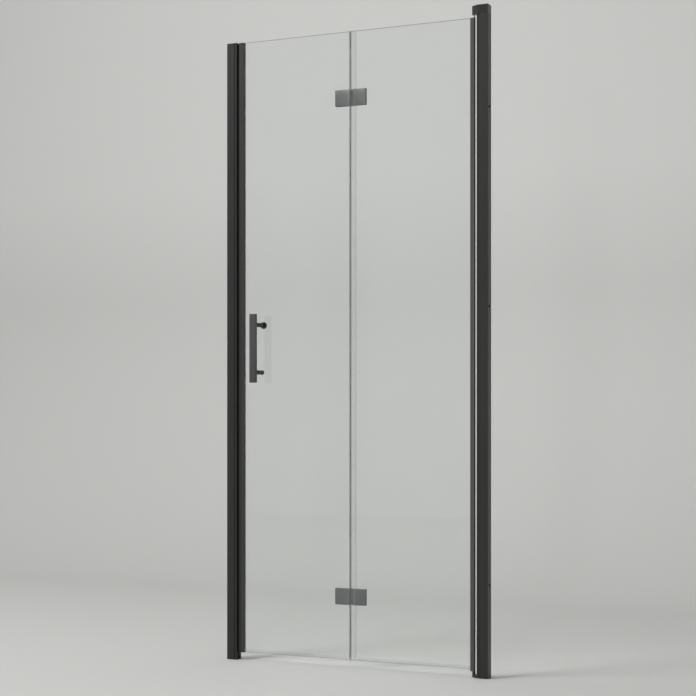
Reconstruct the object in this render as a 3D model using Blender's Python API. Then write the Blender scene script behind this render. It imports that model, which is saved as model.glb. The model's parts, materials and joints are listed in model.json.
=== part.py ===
"""A bi-fold niche shower door, in metres: two clear glass leaves between two slim black wall profiles.

The origin is on the pivot axis at floor level. X runs along the niche towards the pivot side's wall,
-Y is outside the shower and +Z is up. The pivot leaf turns on a pin at its wall profile and climbs a
helical ramp as it opens. The handle leaf folds against its inner face on two hinges.
"""

import math

import bmesh
import bpy
from mathutils import Matrix, Vector

# The door as a whole: the niche's width, the door's height, and where the pivot axis stands in it.
NICHE_WIDTH = 0.880
DOOR_HEIGHT = 2.000
PIVOT_TO_WALL = 0.049
PIVOT_LEAF_WIDTH = 0.4045
GLASS_THICKNESS = 0.006
GLASS_BOTTOM = 0.025
TOP_GAP = 0.009

# Clearances: pieces that sit on each other, a pin in its bore, and how far a cutter runs on.
SEAT_GAP = 0.0003
RUNNING_GAP = 0.0001
CUT_OVERRUN = 0.002

# Each fixed side is a U on the wall and an adjusting profile that slides in it to suit the wall.
PROFILE_DEPTH = 0.030
PROFILE_WALL = 0.0016
PROFILE_ROUND = 0.0006
WALL_PROFILE_WIDTH = 0.026
PIVOT_SIDE_WIDTH = 0.035
STRIKE_SIDE_WIDTH = 0.035
SEALANT_STEP_WIDTH = 0.003
SEALANT_STEP_DEPTH = 0.0006
ADJUSTING_LIP = 0.0028
ADJUSTING_LENGTH = 0.026
END_CAP_HEIGHT = 0.002
WALL_SLOT_LENGTH = 0.014
WALL_SLOT_WIDTH = 0.006

# Screws that clamp the adjusting profile in the U, from inside the shower.
CLAMP_HEIGHT_SHARES = (0.08, 0.5, 0.92)
WALL_SLOT_SHARES = (0.14, 0.56, 0.86)
CLAMP_FROM_WALL = 0.014
CLAMP_SHANK_RADIUS = 0.0019
CLAMP_HEAD_RADIUS = 0.004
CLAMP_HEAD_HEIGHT = 0.0022
CLAMP_LENGTH = 0.008
CLAMP_SLOT_WIDTH = 0.0048
CLAMP_SLOT_LENGTH = 0.014

# The magnets that hold the door shut, one strip in each of the two profiles that meet.
MAGNET_WIDTH = 0.010
MAGNET_POCKET_DEPTH = 0.004
MAGNET_GAP = 0.0009
LEAF_MAGNET_PROUD = 0.0012
CLOSING_GAP = 0.0033

# The closing profile on the handle leaf's free edge, as wide as it is with its magnet carrier on.
CLOSING_WIDTH = 0.0195
CLOSING_DEPTH = 0.016
CLOSING_ROUND = 0.0028
CLOSING_EDGE_ROUND = 0.0005
CLOSING_SLOT_DEPTH = 0.007
CLOSING_BOTTOM = 0.0235
GASKET_THICKNESS = 0.0008
GASKET_LIP = 0.0005

# The carrier holds the leaf's magnet. Its barbed tongue snaps into a groove along the closing profile.
CARRIER_WIDTH = 0.0083
CARRIER_INSET = 0.0004
CARRIER_ROUND = 0.0012
CARRIER_CHAMBER_WIDTH = 0.0018
CARRIER_CHAMBER_DEPTH = 0.0086
GROOVE_MOUTH = 0.0052
GROOVE_LIP = 0.0009
GROOVE_WIDTH = 0.0074
GROOVE_DEPTH = 0.0026

# The round-nosed profile that carries the pivot leaf, and its sealing fin.
PIVOT_PROFILE_DEPTH = 0.0112
PIVOT_PROFILE_REACH = 0.010
PIVOT_PROFILE_OFFSET = 0.001
PIVOT_PROFILE_ROUND = 0.0009
PIVOT_SLOT_END = 0.0045
PIVOT_CHAMBER_RADIUS = 0.0033
PIVOT_PROFILE_BOTTOM = 0.018
FIN_THICKNESS = 0.001
FIN_REACH = 0.0132
FIN_GROOVE_DEPTH = 0.0008

# The bearings above and below the leaf share one plan: a nose on the pivot axis that widens to the wall.
CAP_HEIGHT = 0.026
CAP_ROUND = 0.001
CAP_PLUG_HEIGHT = 0.014
NOSE_RADIUS = 0.0055
NOSE_SHOULDER = 0.017
BLOCK_HEIGHT = 0.009
BLOCK_TONGUE = 0.030
PIN_RADIUS = 0.0024
PIN_CHAMFER = 0.0005
PIN_SOCKET_FLOOR = 0.003
BUSH_WALL = 0.0012
BUSH_LENGTH = 0.0155
UPPER_PIN_ENGAGEMENT = 0.0082
UPPER_PIN_DEPTH = 0.040
UPPER_PIN_FLANGE_RADIUS = 0.0044
UPPER_PIN_FLANGE_HEIGHT = 0.0015

# The lift: two rings with helical teeth. The leaf rises as it turns and sinks again as it closes.
LIFT_PER_RADIAN = 0.0038
LIFT_TURN = math.radians(90)
RAMP_TEETH = 2
RAMP_RADIUS = 0.0052
RAMP_BASE = 0.0015
RAMP_DROP = math.radians(5)
RAMP_SLACK = math.radians(10)
RAMP_STEP = math.radians(5)
PIN_HEX_RADIUS = 0.0019
LOWER_PIN_TOP = 0.036
INSERT_LENGTH = 0.018

# Clear seals on the glass edges.
SEAL_WALL = 0.0008
MIDDLE_SEAL_NOSE = 0.0014
HANDLE_SEAL_LEG = 0.0045
PIVOT_SEAL_LEG = 0.017
MIDDLE_SEAL_GAP = 0.0006
JOINT_GAP = 0.004
BOTTOM_SEAL_LEG = 0.008
BOTTOM_SEAL_WEB = 0.0022
BOTTOM_SEAL_LOW = 0.0155
BOTTOM_SEAL_LIP = 0.0012

# The fold hinges, bonded to the inner face of both leaves. The handle leaf's half is the longer one.
LOWER_HINGE_HEIGHT = 0.218
UPPER_HINGE_FROM_TOP = 0.2025
HINGE_HEIGHT = 0.050
PIVOT_WING_REACH = 0.0488
HANDLE_WING_REACH = 0.0528
HINGE_THICKNESS = 0.0144
HINGE_BASE_THICKNESS = 0.004
PIVOT_BASE_START = 0.0072
HANDLE_BASE_START = 0.0027
HINGE_ROUND = 0.0015
KNUCKLE_RADIUS = 0.0047
KNUCKLE_CLEARANCE = 0.0006
KNUCKLE_COUNT = 5
HINGE_PIN_RADIUS = 0.0022
HINGE_SCREW_PLACES = (0.016, 0.037)
HINGE_SCREW_RADIUS = 0.0019
HINGE_SCREW_HEAD_RADIUS = 0.0036
HINGE_SCREW_HEAD_HEIGHT = 0.003
HINGE_SCREW_RECESS = 0.0005
HINGE_SCREW_BITE = 0.0028
HINGE_NOTCH_CLEARANCE = 0.0006

# The handle: a flat bar on two stand-offs outside, a knob and a cap inside.
HANDLE_FROM_CLOSING_EDGE = 0.0758
HANDLE_BAR_WIDTH = 0.023
HANDLE_BAR_THICKNESS = 0.010
HANDLE_BAR_LENGTH = 0.216
HANDLE_BAR_ROUND = 0.0012
HANDLE_CENTRE_HEIGHT = 0.9895
HANDLE_HOLE_INSET = 0.033
HANDLE_REACH = 0.054
STANDOFF_RADIUS = 0.007
STANDOFF_CHAMFER = 0.0006
HANDLE_WASHER_THICKNESS = 0.001
HANDLE_BOLT_RADIUS = 0.003
HANDLE_BOLT_BITE = 0.006
HANDLE_BOLT_CLEARANCE = 0.0004
HANDLE_BOLT_INSIDE = 0.0042
BOLT_HEAD_RADIUS = 0.005
BOLT_HEAD_HEIGHT = 0.003
GLASS_HOLE_RADIUS = 0.005
KNOB_RADIUS = 0.0112
KNOB_NECK_RADIUS = 0.0065
KNOB_NECK_LENGTH = 0.0135
KNOB_LENGTH = 0.0205
KNOB_ROUND = 0.002
INNER_CAP_RADIUS = 0.0075
INNER_CAP_LENGTH = 0.0085
INNER_CAP_WALL = 0.0012

# How finely curves are divided.
ROUND_STEPS = 3
NOSE_STEPS = 10
SIDES = 24
LARGE_SIDES = 36

# Places that follow from the sizes above.
PIVOT_WALL_X = PIVOT_TO_WALL
STRIKE_WALL_X = PIVOT_TO_WALL - NICHE_WIDTH
PIVOT_FACE_X = PIVOT_WALL_X - PIVOT_SIDE_WIDTH
STRIKE_FACE_X = STRIKE_WALL_X + STRIKE_SIDE_WIDTH
HALF_DEPTH = PROFILE_DEPTH / 2
HALF_GLASS = GLASS_THICKNESS / 2
CAP_BOTTOM = DOOR_HEIGHT - CAP_HEIGHT
LEAF_TOP = CAP_BOTTOM - TOP_GAP
JOINT_X = -PIVOT_LEAF_WIDTH
FOLD_Y = HALF_GLASS + SEAT_GAP + HINGE_THICKNESS + SEAT_GAP
LOWER_HINGE_Z = LOWER_HINGE_HEIGHT
UPPER_HINGE_Z = LEAF_TOP - UPPER_HINGE_FROM_TOP
CLOSING_X = STRIKE_FACE_X + CLOSING_GAP
CLOSING_END_X = CLOSING_X + CLOSING_WIDTH
CLOSING_SLOT_X = CLOSING_END_X - CLOSING_SLOT_DEPTH
CARRIER_BACK_X = CLOSING_X + CARRIER_WIDTH
SLOT_HALF = HALF_GLASS + GASKET_THICKNESS + 2 * SEAT_GAP
GASKET_WEB = GASKET_THICKNESS
HANDLE_X = CLOSING_X + HANDLE_FROM_CLOSING_EDGE
HANDLE_HOLE_RISE = HANDLE_BAR_LENGTH / 2 - HANDLE_HOLE_INSET
HANDLE_HEIGHTS = {
    "upper": HANDLE_CENTRE_HEIGHT + HANDLE_HOLE_RISE,
    "lower": HANDLE_CENTRE_HEIGHT - HANDLE_HOLE_RISE,
}
LIFT_HEIGHT = LIFT_PER_RADIAN * LIFT_TURN
RAMP_LOW = BLOCK_HEIGHT + SEAT_GAP + RAMP_BASE
RAMP_HIGH = RAMP_LOW + LIFT_HEIGHT


def clear_scene():
    for thing in list(bpy.data.objects):
        bpy.data.objects.remove(thing)


def finish(name, colour, roughness, metallic=0.0, alpha=1.0):
    """A plain finish with this colour, roughness and share of metal."""
    material = bpy.data.materials.new(name)
    material.use_nodes = True
    shader = material.node_tree.nodes["Principled BSDF"]
    shader.inputs["Base Color"].default_value = (*colour, 1.0)
    shader.inputs["Roughness"].default_value = roughness
    shader.inputs["Metallic"].default_value = metallic
    shader.inputs["Alpha"].default_value = alpha
    material.diffuse_color = (*colour, alpha)
    return material


def axis_empty(name, place, parent=None):
    """An empty on a joint's axis, at this place in the whole door."""
    empty = bpy.data.objects.new(name, None)
    bpy.context.scene.collection.objects.link(empty)
    empty.parent = parent
    empty["place"] = place
    empty.location = Vector(place) - (Vector(parent["place"]) if parent else Vector())
    return empty


def solid(name, mesh_data, material, parent=None, smooth=False):
    """The object of this mesh, hung on its joint's empty where it has one."""
    bmesh.ops.recalc_face_normals(mesh_data, faces=mesh_data.faces)
    if parent:
        bmesh.ops.translate(mesh_data, verts=mesh_data.verts, vec=-Vector(parent["place"]))
    mesh = bpy.data.meshes.new(name)
    mesh_data.to_mesh(mesh)
    mesh_data.free()
    mesh.materials.append(material)
    if smooth:
        mesh.shade_smooth()
        mesh.set_sharp_from_angle(angle=math.radians(35))
    thing = bpy.data.objects.new(name, mesh)
    thing.parent = parent
    bpy.context.scene.collection.objects.link(thing)
    return thing


def cut(thing, tools):
    """Cuts the tools out of a solid. They stay in the file as hidden wire shapes."""
    for tool in tools:
        tool.hide_render = True
        tool.display_type = "WIRE"
        boolean = thing.modifiers.new(tool.name, "BOOLEAN")
        boolean.operation = "DIFFERENCE"
        # At some door sizes the exact solver leaves hairline cracks in the long thin walls.
        boolean.solver = "MANIFOLD"
        boolean.object = tool
    thing.modifiers.new("even triangles", "TRIANGULATE").quad_method = "BEAUTY"


def join(thing, tool):
    """Adds one solid to another."""
    tool.hide_render = True
    tool.display_type = "WIRE"
    boolean = thing.modifiers.new(tool.name, "BOOLEAN")
    boolean.operation = "UNION"
    boolean.object = tool


def rounded(corners, steps=ROUND_STEPS):
    """The outline through these (x, y, radius) corners, each turned with its own radius."""
    points = []
    for i, (x, y, radius) in enumerate(corners):
        corner = Vector((x, y))
        if not radius:
            points.append(corner)
            continue
        before = (Vector(corners[i - 1][:2]) - corner).normalized()
        after = (Vector(corners[(i + 1) % len(corners)][:2]) - corner).normalized()
        half_angle = before.angle(after) / 2
        centre = corner + (before + after).normalized() * radius / math.sin(half_angle)
        start = corner + before * radius / math.tan(half_angle) - centre
        end = corner + after * radius / math.tan(half_angle) - centre
        turn = math.atan2(start.x * end.y - start.y * end.x, start.dot(end))
        points += [centre + Matrix.Rotation(turn * step / steps, 2) @ start for step in range(steps + 1)]
    return points


def rectangle(x0, y0, x1, y1, radius=0.0):
    return rounded([(x0, y0, radius), (x1, y0, radius), (x1, y1, radius), (x0, y1, radius)])


def arc(x, y, radius, start, end, steps):
    """Points on an arc, with both of its ends."""
    turns = [start + (end - start) * step / steps for step in range(steps + 1)]
    return [Vector((x + radius * math.cos(turn), y + radius * math.sin(turn))) for turn in turns]


def circle(x, y, radius, sides=SIDES):
    return arc(x, y, radius, 0.0, math.tau, sides)[:-1]


def in_space(point, height, along):
    """A drawing's point at this height, for a prism along X, Y or Z."""
    a, b = point
    return {"X": (height, a, b), "Y": (a, height, b), "Z": (a, b, height)}[along]


def prism(name, outline, low, high, material, holes=(), along="Z", parent=None, smooth=False):
    """An outline, with holes where it has them, drawn out from low to high along one axis."""
    mesh_data = bmesh.new()
    edges = []
    for loop in [outline, *holes]:
        verts = [mesh_data.verts.new(in_space(point, low, along)) for point in loop]
        edges += [mesh_data.edges.new((a, b)) for a, b in zip(verts, verts[1:] + verts[:1])]
    bmesh.ops.triangle_fill(mesh_data, use_beauty=True, edges=edges)
    grown = bmesh.ops.extrude_face_region(mesh_data, geom=mesh_data.faces[:])
    moved = [part for part in grown["geom"] if isinstance(part, bmesh.types.BMVert)]
    bmesh.ops.translate(mesh_data, verts=moved, vec=in_space((0, 0), high - low, along))
    return solid(name, mesh_data, material, parent, smooth)


def box(name, low, high, material, parent=None):
    """A plain block between two corners, for cutters."""
    outline = rectangle(low[0], low[1], high[0], high[1])
    return prism(name, outline, low[2], high[2], material, parent=parent)


def evenly(sides=SIDES):
    return [math.tau * side / sides for side in range(sides)]


def hexagon(radius):
    """The radius of a hexagon with this corner radius, as a function of the turn."""
    sixth = math.pi / 3
    return lambda turn: radius * math.cos(sixth / 2) / math.cos(turn % sixth - sixth / 2)


def at_turn(value, turn):
    return value(turn) if callable(value) else value


def turned(name, rings, material, place=(0, 0), along="Z", turns=None, tube=False, parent=None):
    """A turned piece from (height, radius) rings round an axis. A tube's last ring meets its first."""
    turns = turns or evenly()
    mesh_data = bmesh.new()
    loops = []
    for height, radius in rings:
        loop = []
        for turn in turns:
            reach = at_turn(radius, turn)
            point = (place[0] + reach * math.cos(turn), place[1] + reach * math.sin(turn))
            loop.append(mesh_data.verts.new(in_space(point, at_turn(height, turn), along)))
        loops.append(loop)
    pairs = list(zip(loops, loops[1:] + loops[:1])) if tube else list(zip(loops, loops[1:]))
    for lower, upper in pairs:
        for i, vert in enumerate(lower):
            mesh_data.faces.new((lower[i - 1], vert, upper[i], upper[i - 1]))
    if not tube:
        mesh_data.faces.new(loops[0])
        mesh_data.faces.new(loops[-1])
    return solid(name, mesh_data, material, parent, smooth=True)


def at_pivot_side(points):
    """Points measured from the pivot side's wall towards the leaf."""
    return [Vector((PIVOT_WALL_X - u, v)) for u, v in points]


def at_strike_side(points):
    """Points measured from the strike side's wall towards the leaf."""
    return [Vector((STRIKE_WALL_X + u, v)) for u, v in points]


def wall_section():
    """The U on the wall, with a step along its back for the sealant."""
    inner = HALF_DEPTH - PROFILE_WALL
    step = HALF_DEPTH - SEALANT_STEP_DEPTH
    limb = [
        (0, step, 0),
        (SEALANT_STEP_WIDTH, step, 0),
        (SEALANT_STEP_WIDTH, HALF_DEPTH, PROFILE_ROUND / 2),
        (WALL_PROFILE_WIDTH, HALF_DEPTH, PROFILE_ROUND),
        (WALL_PROFILE_WIDTH, inner, 0),
        (PROFILE_WALL, inner, 0),
    ]
    return rounded(limb + [(u, -v, radius) for u, v, radius in reversed(limb)])


def adjusting_section(side_width, magnet):
    """The sliding profile, from its face next to the leaf back into the U."""
    inner = HALF_DEPTH - PROFILE_WALL - SEAT_GAP
    face = side_width
    limb = [
        (face, HALF_DEPTH, PROFILE_ROUND),
        (face - ADJUSTING_LIP, HALF_DEPTH, PROFILE_ROUND),
        (face - ADJUSTING_LIP, inner, 0),
        (face - ADJUSTING_LENGTH, inner, 0),
        (face - ADJUSTING_LENGTH, inner - PROFILE_WALL, 0),
        (face - PROFILE_WALL, inner - PROFILE_WALL, 0),
    ]
    back = []
    front = []
    if magnet:
        pocket = MAGNET_WIDTH / 2 + SEAT_GAP
        floor = face - MAGNET_POCKET_DEPTH
        back = [
            (face - PROFILE_WALL, pocket + PROFILE_WALL, 0),
            (floor - PROFILE_WALL, pocket + PROFILE_WALL, 0),
        ]
        front = [(face, -pocket, 0), (floor, -pocket, 0), (floor, pocket, 0), (face, pocket, 0)]
    half = limb + back
    return rounded(half + [(u, -v, radius) for u, v, radius in reversed(half)] + front)


def clamp_screw(name, x, z, material):
    """A pan-head screw that holds the adjusting profile, driven from inside the shower."""
    seat = HALF_DEPTH + SEAT_GAP
    rings = [
        (seat - CLAMP_LENGTH, CLAMP_SHANK_RADIUS),
        (seat, CLAMP_SHANK_RADIUS),
        (seat, CLAMP_HEAD_RADIUS),
        (seat + CLAMP_HEAD_HEIGHT / 2, CLAMP_HEAD_RADIUS),
        (seat + CLAMP_HEAD_HEIGHT, CLAMP_HEAD_RADIUS / 2),
    ]
    turned(name, rings, material, (x, z), "Y", evenly(SIDES // 2))


def slot_tool(name, places, length, width, low, high, along, material):
    """One cutter per slot, each a rounded bar through the wall."""
    tools = []
    for index, (a, b) in enumerate(places):
        half = length / 2
        end = width / 2
        outline = arc(a + half - end, b, end, -math.pi / 2, math.pi / 2, ROUND_STEPS * 2)
        outline += arc(a - half + end, b, end, math.pi / 2, math.pi * 3 / 2, ROUND_STEPS * 2)
        tools.append(prism(f"{name}_{index}", outline, low, high, material, along=along))
    return tools


def fixed_side(side, place, side_width, low, top, magnet, black, steel):
    """One fixed side: the U on the wall, the adjusting profile in it and the screws that hold it."""
    wall_x = place([(0, 0)])[0].x
    heights = [top * share for share in CLAMP_HEIGHT_SHARES]
    screw_x = place([(CLAMP_FROM_WALL, 0)])[0].x
    u_profile = prism(f"{side}_wall_profile", place(wall_section()), 0, top, black, smooth=True)
    slots = [(0, top * share) for share in WALL_SLOT_SHARES]
    web = sorted((wall_x, place([(PROFILE_WALL, 0)])[0].x))
    tools = slot_tool(f"{side}_wall_slot", slots, WALL_SLOT_LENGTH, WALL_SLOT_WIDTH,
                      web[0] - CUT_OVERRUN, web[1] + CUT_OVERRUN, "X", black)
    inner = HALF_DEPTH - PROFILE_WALL
    screw_hole = CLAMP_SHANK_RADIUS + SEAT_GAP
    for index, z in enumerate(heights):
        outline = circle(screw_x, z, screw_hole, SIDES // 2)
        tools.append(prism(f"{side}_screw_hole_{index}", outline, inner - SEAT_GAP / 2,
                           HALF_DEPTH + CUT_OVERRUN, black, along="Y"))
    cut(u_profile, tools)
    slide = prism(f"{side}_adjusting_profile", place(adjusting_section(side_width, magnet)),
                  low, top, black, smooth=True)
    places = [(screw_x, z) for z in heights]
    cut(slide, slot_tool(f"{side}_clamp_slot", places, CLAMP_SLOT_LENGTH, CLAMP_SLOT_WIDTH,
                         inner - SEAT_GAP - PROFILE_WALL - SEAT_GAP, inner, "Y", black))
    for index, z in enumerate(heights):
        clamp_screw(f"{side}_clamp_screw_{index + 1}", screw_x, z, steel)


def magnet_strip(name, face, back, bottom, top, material, parent=None):
    half = MAGNET_WIDTH / 2
    low, high = sorted((face, back))
    outline = rectangle(low, -half, high, half)
    prism(name, outline, bottom, top, material, parent=parent)


def bearing_plan(back_x, half_back):
    """The plan of both bearings: a round nose on the pivot axis whose flanks widen to the profile."""
    reach = math.hypot(NOSE_SHOULDER, HALF_DEPTH)
    lean = math.atan2(HALF_DEPTH, NOSE_SHOULDER) + math.acos(NOSE_RADIUS / reach)
    nose = arc(0, 0, NOSE_RADIUS, lean, math.tau - lean, NOSE_STEPS)
    flange_x = PIVOT_WALL_X - WALL_PROFILE_WIDTH - SEAT_GAP
    sides = [(NOSE_SHOULDER, HALF_DEPTH)]
    if half_back < HALF_DEPTH:
        sides += [(flange_x, HALF_DEPTH), (flange_x, half_back)]
    sides.append((back_x, half_back))
    outer = [Vector((x, -y)) for x, y in sides]
    return nose + outer + [Vector(point) for point in reversed(sides)]


def top_bearing(black, plastic):
    """The cap over the pivot side. Its plug fills the adjusting profile and its bush takes the pin."""
    plan = bearing_plan(PIVOT_WALL_X, HALF_DEPTH)
    cap = prism("top_bearing_cap", plan, CAP_BOTTOM, DOOR_HEIGHT, black)
    edge = cap.modifiers.new("soft edges", "BEVEL")
    edge.width = CAP_ROUND
    edge.segments = 2
    edge.limit_method = "ANGLE"
    edge.angle_limit = math.radians(50)
    plug_half = HALF_DEPTH - 2 * PROFILE_WALL - 2 * SEAT_GAP
    plug_x = PIVOT_FACE_X + PROFILE_WALL + SEAT_GAP
    plug_end = PIVOT_FACE_X + ADJUSTING_LENGTH
    join(cap, box("top_bearing_plug", (plug_x, -plug_half, CAP_BOTTOM - CAP_PLUG_HEIGHT),
                  (plug_end, plug_half, CAP_BOTTOM + CAP_ROUND * 2), black))
    bush_inner = PIN_RADIUS + RUNNING_GAP
    bush_outer = bush_inner + BUSH_WALL
    bush_top = CAP_BOTTOM + BUSH_LENGTH
    seat = prism("top_bearing_seat", circle(0, 0, bush_outer + SEAT_GAP), CAP_BOTTOM - CUT_OVERRUN,
                 bush_top + SEAT_GAP, black)
    cut(cap, [seat])
    rings = [
        (CAP_BOTTOM, bush_outer),
        (bush_top, bush_outer),
        (bush_top, bush_inner),
        (CAP_BOTTOM, bush_inner),
    ]
    turned("top_bearing_bush", rings, plastic, tube=True)


def bottom_bearing(black):
    """The block on the floor. Its tongue stands in the U and its blind socket takes the lower pin."""
    half_back = HALF_DEPTH - PROFILE_WALL - SEAT_GAP
    plan = bearing_plan(PIVOT_FACE_X + BLOCK_TONGUE, half_back)
    block = prism("bottom_bearing_block", plan, 0, BLOCK_HEIGHT, black)
    socket = prism("bottom_bearing_socket", circle(0, 0, PIN_RADIUS + RUNNING_GAP), PIN_SOCKET_FLOOR,
                   BLOCK_HEIGHT + CUT_OVERRUN, black)
    cut(block, [socket])


def ramp_turns():
    count = round(math.tau / RAMP_STEP)
    return [math.tau * step / count for step in range(count)]


def lower_ramp_height(turn):
    """The fixed ring's top: each tooth climbs a helix, runs level and drops."""
    period = math.tau / RAMP_TEETH
    along = turn % period
    if along > period - RAMP_DROP:
        return RAMP_HIGH - (along - period + RAMP_DROP) / RAMP_DROP * LIFT_HEIGHT
    return RAMP_LOW + LIFT_PER_RADIAN * min(along, LIFT_TURN)


def upper_ramp_height(turn):
    """The turning ring's underside, which rests on the fixed one with a little slack at the drop."""
    period = math.tau / RAMP_TEETH
    along = turn % period
    start = RAMP_LOW + LIFT_PER_RADIAN * RAMP_SLACK
    if along < RAMP_SLACK - RAMP_DROP:
        return RAMP_HIGH + SEAT_GAP
    if along < RAMP_SLACK:
        share = (RAMP_SLACK - along) / RAMP_DROP
        return start + share * (RAMP_HIGH - start) + SEAT_GAP
    return RAMP_LOW + LIFT_PER_RADIAN * min(along, LIFT_TURN) + SEAT_GAP


def lift_rings(plastic, steel, pin_axis, lift_axis):
    """The fixed ramp, the ramp on the leaf, and the pin that turns in the block and keys the leaf."""
    turns = ramp_turns()
    bore = PIN_RADIUS + RUNNING_GAP
    rings = [
        (BLOCK_HEIGHT + SEAT_GAP, RAMP_RADIUS),
        (lower_ramp_height, RAMP_RADIUS),
        (lower_ramp_height, bore),
        (BLOCK_HEIGHT + SEAT_GAP, bore),
    ]
    turned("lower_lift_ramp", rings, plastic, turns=turns, tube=True)
    shoulder = PIVOT_PROFILE_BOTTOM - SEAT_GAP
    stem = PIVOT_CHAMBER_RADIUS - SEAT_GAP
    hex_bore = hexagon(PIN_HEX_RADIUS + 2 * RUNNING_GAP)
    rings = [
        (upper_ramp_height, RAMP_RADIUS),
        (shoulder, RAMP_RADIUS),
        (shoulder, stem),
        (shoulder + INSERT_LENGTH, stem),
        (shoulder + INSERT_LENGTH, hex_bore),
        (upper_ramp_height, hex_bore),
    ]
    turned("upper_lift_ramp", rings, plastic, turns=turns, tube=True, parent=lift_axis)
    foot = PIN_SOCKET_FLOOR + SEAT_GAP
    rings = [
        (foot, PIN_RADIUS - PIN_CHAMFER),
        (foot + PIN_CHAMFER, PIN_RADIUS),
        (RAMP_LOW - SEAT_GAP, PIN_RADIUS),
        (RAMP_LOW - SEAT_GAP, hexagon(PIN_HEX_RADIUS)),
        (LOWER_PIN_TOP, hexagon(PIN_HEX_RADIUS)),
    ]
    turned("lower_pivot_pin", rings, steel, turns=evenly(LARGE_SIDES), parent=pin_axis)


def upper_pin(steel, lift_axis):
    """The pin in the top of the pivot profile, which slides up in its bush as the leaf lifts."""
    inside = PIVOT_CHAMBER_RADIUS - SEAT_GAP
    flange = LEAF_TOP + SEAT_GAP
    neck = flange + UPPER_PIN_FLANGE_HEIGHT
    tip = CAP_BOTTOM + UPPER_PIN_ENGAGEMENT
    rings = [
        (LEAF_TOP - UPPER_PIN_DEPTH, inside),
        (flange, inside),
        (flange, UPPER_PIN_FLANGE_RADIUS),
        (neck, UPPER_PIN_FLANGE_RADIUS),
        (neck, PIN_RADIUS),
        (tip - PIN_CHAMFER, PIN_RADIUS),
        (tip, PIN_RADIUS - PIN_CHAMFER),
    ]
    turned("upper_pivot_pin", rings, steel, parent=lift_axis)


def pivot_profile(black, grey, clear, lift_axis):
    """The extrusion on the pivot leaf's edge: two cheeks on the glass and a round nose round the pins."""
    half = PIVOT_PROFILE_DEPTH / 2
    nose = math.pi / 2
    right = half - PIVOT_PROFILE_OFFSET
    groove = FIN_THICKNESS / 2 + SEAT_GAP
    lean = math.asin(groove / half)
    floor = right - FIN_GROOVE_DEPTH
    slot_x = -PIVOT_SLOT_END
    cheek_x = -PIVOT_PROFILE_REACH
    cheek = rounded([
        (-PIVOT_PROFILE_OFFSET, half, 0),
        (cheek_x, half, PIVOT_PROFILE_ROUND),
        (cheek_x, SLOT_HALF, 0),
        (slot_x, SLOT_HALF, 0),
        (slot_x, -SLOT_HALF, 0),
        (cheek_x, -SLOT_HALF, 0),
        (cheek_x, -half, PIVOT_PROFILE_ROUND),
        (-PIVOT_PROFILE_OFFSET, -half, 0),
    ])
    lower = arc(-PIVOT_PROFILE_OFFSET, 0, half, -nose, -lean, NOSE_STEPS)[1:]
    upper = arc(-PIVOT_PROFILE_OFFSET, 0, half, lean, nose, NOSE_STEPS)[:-1]
    notch = [Vector((floor, -groove)), Vector((floor, groove))]
    prism("pivot_profile", cheek + lower + notch + upper, PIVOT_PROFILE_BOTTOM, LEAF_TOP, black,
          holes=[circle(0, 0, PIVOT_CHAMBER_RADIUS)], parent=lift_axis, smooth=True)
    glass_gasket("pivot_profile_gasket", cheek_x - GASKET_LIP, slot_x - SEAT_GAP, GLASS_BOTTOM,
                 grey, lift_axis)
    fin = rounded([
        (floor + SEAT_GAP, -FIN_THICKNESS / 2, 0),
        (FIN_REACH, -FIN_THICKNESS / 2, FIN_THICKNESS / 4),
        (FIN_REACH, FIN_THICKNESS / 2, FIN_THICKNESS / 4),
        (floor + SEAT_GAP, FIN_THICKNESS / 2, 0),
    ])
    prism("pivot_seal_fin", fin, PIVOT_PROFILE_BOTTOM, LEAF_TOP, clear, parent=lift_axis)


def glass_gasket(name, lip_x, web_x, bottom, material, parent):
    """A rubber channel between the glass edge and the slot that holds it."""
    inner = HALF_GLASS + SEAT_GAP
    outer = inner + GASKET_THICKNESS
    floor = web_x + math.copysign(GASKET_WEB, lip_x - web_x)
    outline = [
        (lip_x, outer), (web_x, outer), (web_x, -outer), (lip_x, -outer),
        (lip_x, -inner), (floor, -inner), (floor, inner), (lip_x, inner),
    ]
    prism(name, [Vector(point) for point in outline], bottom, LEAF_TOP, material, parent=parent)


def pane(name, left, right, material, parent, holes=()):
    """A toughened glass pane with fine ground edges."""
    outline = rectangle(left, GLASS_BOTTOM, right, LEAF_TOP)
    prism(name, outline, -HALF_GLASS, HALF_GLASS, material, holes=holes, along="Y", parent=parent)


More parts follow.
